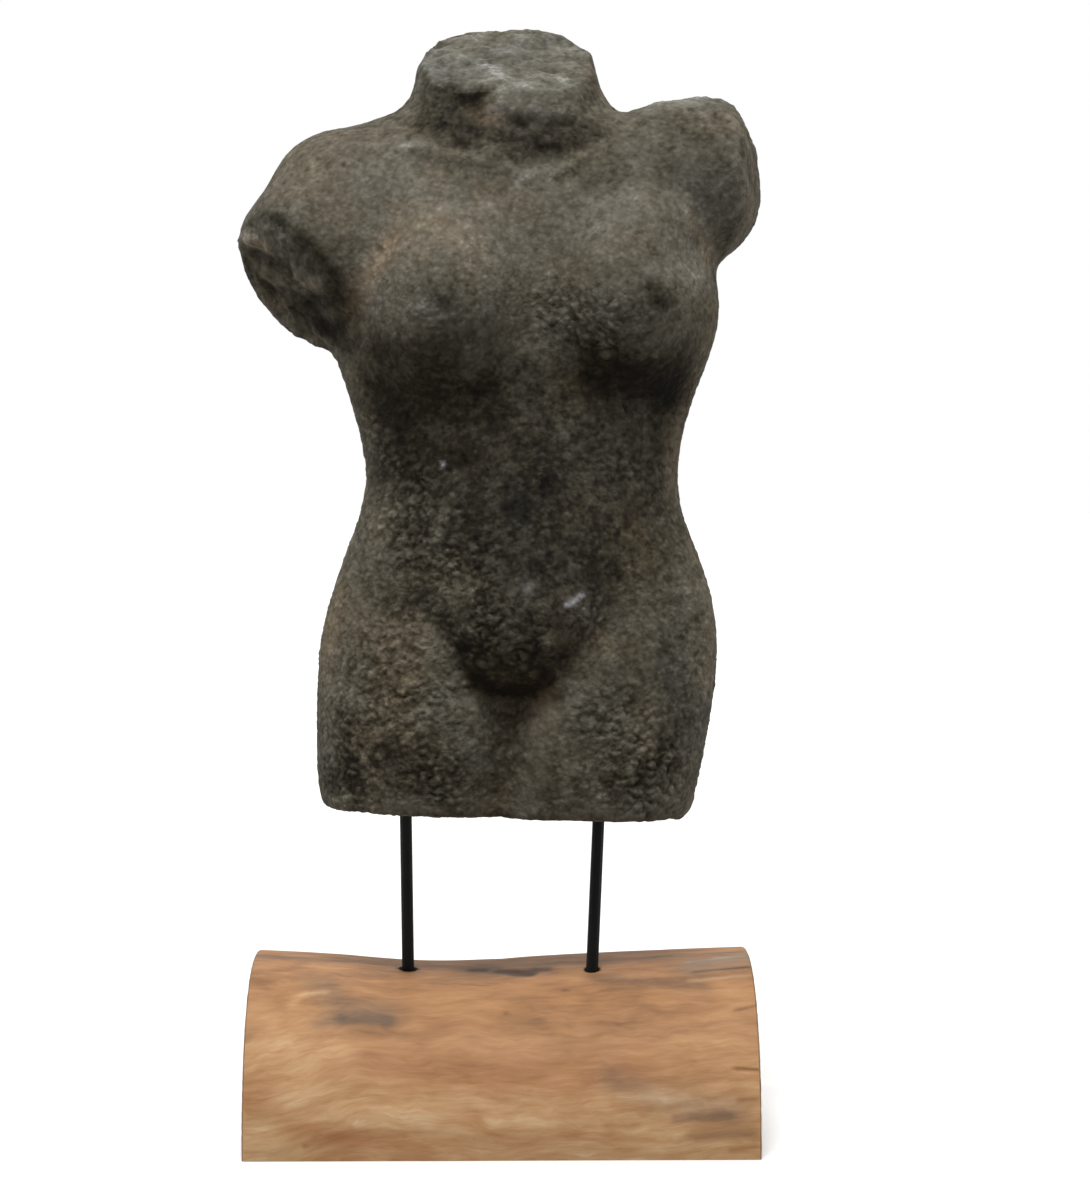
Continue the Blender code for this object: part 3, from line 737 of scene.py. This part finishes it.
# Half-round log, repeating the solid's own sizes
logLook = {
    "length": 0.2715,
    "depth": 0.186,
    "height": 0.0898,
    "edge": 0.0018,
    "saddleDepth": 0.0035,
    "saddlePlace": -0.045,
    "saddleReach": 0.050,
    "climbs": (0.0040, 0.0050),  # how far the ridge rises to its -X and +X ends
    "flatness": 2.25,
    "stations": 128,
    "turns": 440,
    "endRings": 14,
    "grainLength": 0.045,
    "grainWidth": 0.0024,
    "grainDepth": 0.00008,
    "dents": 0.00035,
    "bends": (0.013, 0.007),  # how far the grain bends down at -X and up at +X
    "bendStarts": (0.070, 0.060),
    "bendEnd": 0.140,
    "sockets": {"rod_left": (0.0036, 0.0052), "rod_right": (0.0036, 0.0042)},  # radii, hole then mouth
    "socketDepth": 0.0503,
    "mouthDepth": 0.0030,
    "drillRun": (0.0003, 0.02),  # how far the drill passes the hole's floor and the log's top
    "grainWander": (0.030, 0.0022),  # size and reach
    "broadGrain": (0.07, 0.012),
    "endRoughness": (0.004, 0.00015),  # size and height
    "topShade": (0.24, 0.070, 0.092),  # share, and the heights it fades between
    # painted light low on the log, evening out its shading
    "lowPaintedLight": (0.72, 0.010, 0.074),
    "widths": {  # of the patterns in the wood
        "sway": 0.045, "fineSway": 0.014, "broad": 0.018, "patches": 0.0080, "streaks": 0.0042,
        "fibres": 0.0009, "rings": 0.0042, "spokes": 0.0024, "waver": 0.035, "fineWaver": 0.006,
    },
    "swayReach": 0.009,
    "heart": 0.006,  # how far under the log its growth rings are centred
}

# Marks on the log. Pixels are the photograph's, width and lift are metres, the rest are shares
logMarks = {
    "crackA": stroke([(472, 970), (484, 970)], 0.003, lift=-0.0006, dark=0.6),
    "crackB": stroke([(500, 971), (511, 971)], 0.0034, lift=-0.0007, dark=0.75),
    "crackD": stroke([(517, 973), (529, 973)], 0.004, lift=-0.001, dark=0.95),
    "crackC": stroke([(536, 969), (546, 969)], 0.003, lift=-0.0006, dark=0.55),
    "crackWash": stroke([(466, 970), (548, 970)], 0.008, dark=0.34),
    "knot": stroke([(342, 1019), (364, 1017), (388, 1021)], 0.004, lift=-0.0003, grey=0.4, dark=0.3),
    "knotCloud": stroke([(322, 984), (340, 1006), (384, 1012)], 0.011, grey=0.42, dark=0.08),
    "rimShade": stroke([(596, 978), (660, 983), (704, 988)], 0.006, grey=0.25, dark=0.26),
    "lowWash": stroke([(612, 1080), (660, 1098), (736, 1112)], 0.008, grey=0.34, dark=0.2),
    "lowLeft": stroke([(250, 1100), (290, 1122), (350, 1142)], 0.008, warm=0.45, dark=0.18),
    "knotTail": stroke([(318, 1024), (342, 1020)], 0.0036, grey=0.3, dark=0.16),
    "paleA": stroke([(292, 1004), (306, 994), (326, 993)], 0.0026, lift=0.0002, pale=0.55),
    "paleB": stroke([(268, 1040), (300, 1052), (330, 1048)], 0.011, pale=0.34),
    "paleC": stroke([(292, 1050), (290, 1085), (274, 1110)], 0.012, pale=0.24),
    "greyTopRight": stroke([(690, 966), (748, 958)], 0.009, grey=0.75, pale=0.25),
    "greyTop": stroke([(258, 956), (420, 966), (600, 962), (740, 952)], 0.005, grey=0.45, dark=0.16),
    "rimStreakA": stroke([(688, 962), (742, 956)], 0.0018, grey=0.5, pale=0.6),
    "rimStreakB": stroke([(694, 972), (748, 967)], 0.0015, grey=0.5, dark=0.4),
    "rimStreakC": stroke([(690, 981), (750, 975)], 0.0018, grey=0.35, pale=0.55),
    "endLineA": stroke([(736, 1010), (756, 1006)], 0.0012, dark=0.5),
    "endLineB": stroke([(740, 1100), (757, 1098)], 0.0016, dark=0.5),
    "endLineC": stroke([(732, 1150), (757, 1146)], 0.002, dark=0.5),
    # painted shade across the middle of the log's front, evening out its shading
    "midShade": stroke([(400, 1030), (500, 1024), (600, 1034)], 0.02, dark=0.16),
    "streakA": stroke([(676, 1119), (730, 1115)], 0.0026, grey=0.3, dark=0.4),
    "streakB": stroke([(690, 1136), (752, 1135)], 0.0028, grey=0.2, dark=0.42),
    "streakC": stroke([(620, 1098), (690, 1100)], 0.0022, pale=0.35),
    "streakD": stroke([(520, 1120), (600, 1128)], 0.003, pale=0.4),
    "streakE": stroke([(300, 1118), (360, 1124), (430, 1122)], 0.004, pale=0.25),
    "warmBand": stroke([(380, 1060), (520, 1078), (640, 1070)], 0.011, warm=0.55),
    "warmLow": stroke([(330, 1138), (460, 1146), (620, 1142)], 0.009, warm=0.5),
    "splitEnd": stroke([(736, 1069), (758, 1071)], 0.001, lift=-0.0009, dark=0.8),
    "fleckA": stroke([(306, 1146)], 0.0012, dark=0.6),
    "fleckB": stroke([(504, 1013), (508, 1014)], 0.001, dark=0.4),
    "fleckC": stroke([(566, 990)], 0.0012, dark=0.5),
}


def logRidge(x):
    worn = math.exp(-(((x - logLook["saddlePlace"]) / logLook["saddleReach"]) ** 2))
    climb = logLook["climbs"][x > 0] * min(1.0, 2 * abs(x) / logLook["length"])
    return logLook["height"] - logLook["saddleDepth"] * worn + climb


def logProfile():  # from the middle of one end, over the rim and along to the other end
    half, edge = logLook["length"] / 2, logLook["edge"]
    reach = logLook["depth"] / 2
    rings = [(reach - edge) * k / logLook["endRings"] for k in range(logLook["endRings"])]
    turns = [math.pi / 8 * k for k in range(5)]
    corner = [(edge * (1 - math.cos(turn)), reach - edge + edge * math.sin(turn)) for turn in turns]
    start = [(-half, radius) for radius in rings] + [(x - half, radius) for x, radius in corner]
    straight, stations = 2 * half - 2 * edge, logLook["stations"]
    run = [(-half + edge + straight * k / stations, reach) for k in range(1, stations)]
    return start + run + [(-x, radius) for x, radius in reversed(start)]


def logBlank():
    profile = logProfile()
    steps, turns = len(profile) - 1, logLook["turns"]
    power, reach = 2 / logLook["flatness"], logLook["depth"] / 2
    bm = bmesh.new()
    bmesh.ops.create_grid(bm, x_segments=steps, y_segments=turns, size=0.5)
    for vertex in bm.verts:  # the sheet is rolled to the log's half-round section and closed over both ends
        x, radius = profile[round((vertex.co.x + 0.5) * steps)]
        turn = math.pi * round((vertex.co.y + 0.5) * turns) / turns
        wide = -math.copysign(abs(math.cos(turn)) ** power, math.cos(turn)) * radius
        high = abs(math.sin(turn)) ** power * logRidge(x) * radius / reach
        vertex.co = (x, wide, high if 0 < turn < math.pi else 0)
    bmesh.ops.remove_doubles(bm, verts=bm.verts, dist=0.000001)
    rim = [edge for edge in bm.edges if edge.is_boundary]
    bmesh.ops.contextual_create(bm, geom=rim)
    bmesh.ops.recalc_face_normals(bm, faces=bm.faces)
    marker = Marker(bm)
    mesh = bpy.data.meshes.new("halfLog")
    bm.to_mesh(mesh)
    bm.free()
    return linkedObject("halfLog", mesh), marker


def grainBend(x):
    (down, up), (left, right), end = logLook["bends"], logLook["bendStarts"], logLook["bendEnd"]
    return up * eased(x, right, end) - down * eased(-x, left, end)


def carveLog(log, marker):
    mesh = log.data
    places, facings = vertexShape(mesh)
    weights = strokeWeights(places, marker, logMarks)
    long, thin = logLook["grainLength"], logLook["grainWidth"]
    size, reach = logLook["grainWander"]
    wander = sampled(places, size, noise.noise)
    wavy = places + np.outer(wander, (0, reach, reach))
    wavy[:, 2] -= grainBend(places[:, 0])
    grain = np.array([noise.fractal(place, 0.8, 2.0, 3) for place in (wavy / (long, thin, thin)).tolist()])
    long, thin = logLook["broadGrain"]
    broad = np.array([noise.noise(place) for place in (wavy / (long, thin, thin)).tolist()])
    height = logLook["grainDepth"] * (grain - 0.3) + logLook["dents"] * broad
    height += total(weights, logMarks, "lift")
    endGrain = eased(np.abs(facings[:, 0]), 0.5, 0.9)
    size, rough = logLook["endRoughness"]
    height = np.where(endGrain > 0.5, rough * sampled(places, size, noise.noise), height)
    shift = facings * height[:, None]
    above = eased(places[:, 2], 0.0, 0.004)  # the sawn underside stays flat
    shift[:, 2] *= above
    places += shift
    places[:, 2] = np.maximum(places[:, 2], 0)
    mesh.vertices.foreach_set("co", places.ravel())
    mesh.update()


def drillLog(log):
    cutters = []
    for name, (low, high) in rods.items():
        radius, mouth = logLook["sockets"][name]
        depth = logLook["socketDepth"]
        rim = depth - logLook["mouthDepth"]
        floor, top = -logLook["drillRun"][0], depth + logLook["drillRun"][1]
        profile = ((floor, 0.0), (floor, radius), (rim, radius), (rim, mouth), (top, mouth), (top, 0.0))
        cutters.append(turnedCutter(f"{name}Drill", low, high, profile))
    drilled(log, cutters)


def paintLog(log, marker):
    mesh = log.data
    places = vertexShape(mesh)[0]
    weights = strokeWeights(places, marker, logMarks)
    share, low, high = logLook["topShade"]
    dark = total(weights, logMarks, "dark") + share * eased(places[:, 2], low, high)
    # painted light low on the log, evening out its shading
    share, low, high = logLook["lowPaintedLight"]
    pale = total(weights, logMarks, "pale") + share * (1 - eased(places[:, 2], low, high))
    grey = total(weights, logMarks, "grey")
    warm = total(weights, logMarks, "warm")
    # painted shade in the socket mouths around the rods
    for name, (low, high) in rods.items():
        gap = axisDistance(places, np.array(low), np.array(high))
        mouth = logLook["sockets"][name][1]
        dark += eased(-gap, -1.25 * mouth, -0.9 * mouth)
    # These weather colours also carry painted shade in the socket mouths and painted light low on the log
    paintVertices(mesh, "weather", (dark, pale, grey, warm))


def woodFinish():
    finish = Finish("weatheredWood")
    place = finish.node("ShaderNodeTexCoord", {}, {}, "Object")
    weather = finish.painted("weather", "Color")
    warm = finish.painted("weather", "Alpha")
    dark, pale, grey = [finish.node("ShaderNodeSeparateColor", {}, {"Color": weather}, k) for k in range(3)]
    apart, side, up = [finish.node("ShaderNodeSeparateXYZ", {}, {"Vector": place}, k) for k in range(3)]
    (down, rise), (left, right), end = logLook["bends"], logLook["bendStarts"], logLook["bendEnd"]
    bend = rise * apart.between(right, end) - down * (0 - apart).between(left, end)
    widths = logLook["widths"]
    sway = finish.noise(finish.stretched(place, (1.0, 1.6, 1.6)), widths["sway"], 2.0)
    sway = logLook["swayReach"] * (sway + 0.35 * finish.noise(place, widths["fineSway"]))
    shift = finish.node("ShaderNodeCombineXYZ", {}, {"Y": sway, "Z": sway - bend})
    swayed = finish.node("ShaderNodeVectorMath", {"operation": "ADD"}, {0: place, 1: shift})

    def drawnOut(name, share, *settings):  # a pattern drawn out along the grain
        return finish.noise(finish.stretched(swayed, (share, 1.0, 1.0)), widths[name], *settings)

    broad = drawnOut("broad", 0.34, 3.0, 0.6)
    streaks = drawnOut("streaks", 0.14, 3.0, 0.6, 0.4)
    fibres = drawnOut("fibres", 0.05, 3.0, 0.7)
    half, deep = logLook["length"] / 2, up + logLook["heart"]
    endMask = abs(apart).between(half - 0.0012, half - 0.0004)
    reach = (side * side + deep * deep).root()
    reach = reach + 0.012 * (finish.noise(place, widths["waver"], 2.0) - 0.5)
    reach = reach + 0.0015 * (finish.noise(place, widths["fineWaver"]) - 0.5)
    growth = finish.node("ShaderNodeCombineXYZ", {}, {"X": reach})
    rings = finish.noise(growth, widths["rings"], 3.0, 0.6)  # seasons of uneven width
    spokes = finish.noise(finish.stretched(place, (0.0, 1.0, 1.0)), widths["spokes"], 2.0)
    patches = drawnOut("patches", 0.30, 2.0, 0.6, 0.6)
    light = 0.50 + 0.44 * (broad - 0.5) + 0.34 * (patches - 0.5)
    light = light + 0.36 * (streaks - 0.5) + 0.10 * (fibres - 0.5)
    light = light + 0.34 * pale * (0.5 + streaks) - 0.46 * dark * (0.35 + 1.3 * streaks)
    stops = [
        (0.00, tone(52, 36, 25)),
        (0.20, tone(108, 77, 51)),
        (0.42, tone(162, 117, 77)),
        (0.62, tone(188, 142, 98)),
        (0.82, tone(208, 168, 124)),
        (1.00, tone(226, 198, 162)),
    ]
    colour = finish.ramp(light, stops)
    colour = finish.mix(0.45 * warm, colour, tone(186, 120, 66), "MULTIPLY")
    silverStops = [(0.0, tone(60, 52, 45)), (0.5, tone(128, 112, 96)), (1.0, tone(186, 172, 154))]
    colour = finish.mix(grey, colour, finish.ramp(light, silverStops))
    endLight = 0.50 + 0.85 * (rings - 0.5) + 0.35 * (spokes - 0.5) - 0.55 * dark
    endStops = [
        (0.00, tone(44, 33, 26)),
        (0.35, tone(112, 86, 64)),
        (0.65, tone(150, 118, 88)),
        (1.00, tone(186, 154, 120)),
    ]
    colour = finish.mix(endMask, colour, finish.ramp(endLight, endStops))
    height = 0.5 * streaks + 0.5 * fibres + endMask * 0.4 * rings
    finish.set(
        Base_Color=colour,
        Roughness=0.66 + 0.16 * (streaks - 0.5) + 0.10 * grey,
        Normal=finish.bump(height, 0.0005, 0.35),
        Specular_IOR_Level=0.32,
    )
    return finish.material


def makeLog():
    log, marker = logBlank()
    carveLog(log, marker)
    drillLog(log)
    paintLog(log, marker)
    log.data.materials.clear()
    log.data.materials.append(woodFinish())
    log.data.shade_smooth()
    log.data.set_sharp_from_angle(angle=math.radians(50))
    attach(log, "root")
    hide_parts("half_log_base")
    log.data.calc_loop_triangles()
    print("log shaped:", len(log.data.loop_triangles), "triangles")


makeLog()


# Rods keep their own solids and take a painted finish
def rodFinish():
    finish = Finish("blackPaintedSteel")
    place = finish.node("ShaderNodeTexCoord", {}, {}, "Object")
    brushed = finish.noise(finish.stretched(place, (1.0, 1.0, 0.12)), 0.0011, 3.0)
    worn = finish.noise(place, 0.0060, 4.0, 0.7)
    stops = [(0.30, tone(4, 4, 5)), (0.55, tone(8, 8, 8)), (0.75, tone(20, 18, 17))]
    colour = finish.ramp(0.6 * worn + 0.4 * brushed, stops)
    finish.set(
        Base_Color=colour,
        Roughness=0.55 + 0.30 * (worn - 0.5),
        Normal=finish.bump(worn + 0.6 * brushed, 0.0003, 0.6),
        Specular_IOR_Level=0.15,
    )
    return finish.material


rodPaint = rodFinish()
for name in rods:
    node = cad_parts[name]
    for index in range(max(1, len(node.material_slots))):
        if not node.material_slots:
            node.data.materials.append(rodPaint)
        node.material_slots[index].material = rodPaint
print("rods painted")

# Floor, lights and the plain white surroundings
studio = {
    "floorSize": 40.0,
    "floorTone": (246, 246, 245),
    "floorReturn": 0.28,  # what the floor sends back up, so that undersides keep their shade
    "ambient": 0.24,
    "suns": {  # power, spread, tilt from straight down and turn about the vertical, in degrees
        "keyLight": (2.75, 26, 22, -10),
        "leftLight": (0.95, 50, 72, -104),
        "rightLight": (0.95, 50, 72, 104),
        "backLight": (0.80, 50, 48, 180),
    },
}


def makeFloor():
    bm = bmesh.new()
    bmesh.ops.create_grid(bm, x_segments=4, y_segments=4, size=studio["floorSize"] / 2)
    mesh = bpy.data.meshes.new("studioFloor")
    bm.to_mesh(mesh)
    bm.free()
    floor = linkedObject("studioFloor", mesh)
    finish = Finish("paleFloor")
    bounced = finish.node("ShaderNodeLightPath", {}, {}, "Is Diffuse Ray")
    pale = tone(*studio["floorTone"])
    dimmed = tuple(c * studio["floorReturn"] for c in pale[:3]) + (1.0,)
    finish.set(Base_Color=finish.mix(bounced, pale, dimmed), Roughness=0.9, Specular_IOR_Level=0.1)
    mesh.materials.append(finish.material)


def makeSun(name, power, spread, tilt, turn):
    data = bpy.data.lights.new(name, "SUN")
    data.energy, data.angle = power, math.radians(spread)
    sun = bpy.data.objects.new(name, data)
    sun.rotation_euler = (math.radians(tilt), 0, math.radians(turn))
    bpy.context.scene.collection.objects.link(sun)


def makeSurroundings():
    world = bpy.data.worlds.new("whiteStudio")
    world.use_nodes = True
    tree = world.node_tree
    soft = tree.nodes["Background"]
    soft.inputs["Color"].default_value = (1, 1, 1, 1)
    soft.inputs["Strength"].default_value = studio["ambient"]
    seen = tree.nodes.new("ShaderNodeBackground")
    seen.inputs["Color"].default_value = (1, 1, 1, 1)
    seen.inputs["Strength"].default_value = 1.0
    path = tree.nodes.new("ShaderNodeLightPath")
    choice = tree.nodes.new("ShaderNodeMixShader")
    tree.links.new(path.outputs["Is Camera Ray"], choice.inputs["Fac"])
    tree.links.new(soft.outputs["Background"], choice.inputs[1])
    tree.links.new(seen.outputs["Background"], choice.inputs[2])
    tree.links.new(choice.outputs["Shader"], tree.nodes["World Output"].inputs["Surface"])
    bpy.context.scene.world = world


makeFloor()
for name, values in studio["suns"].items():
    makeSun(name, *values)
makeSurroundings()
bpy.context.scene.view_settings.view_transform = "Standard"
print("studio lit")
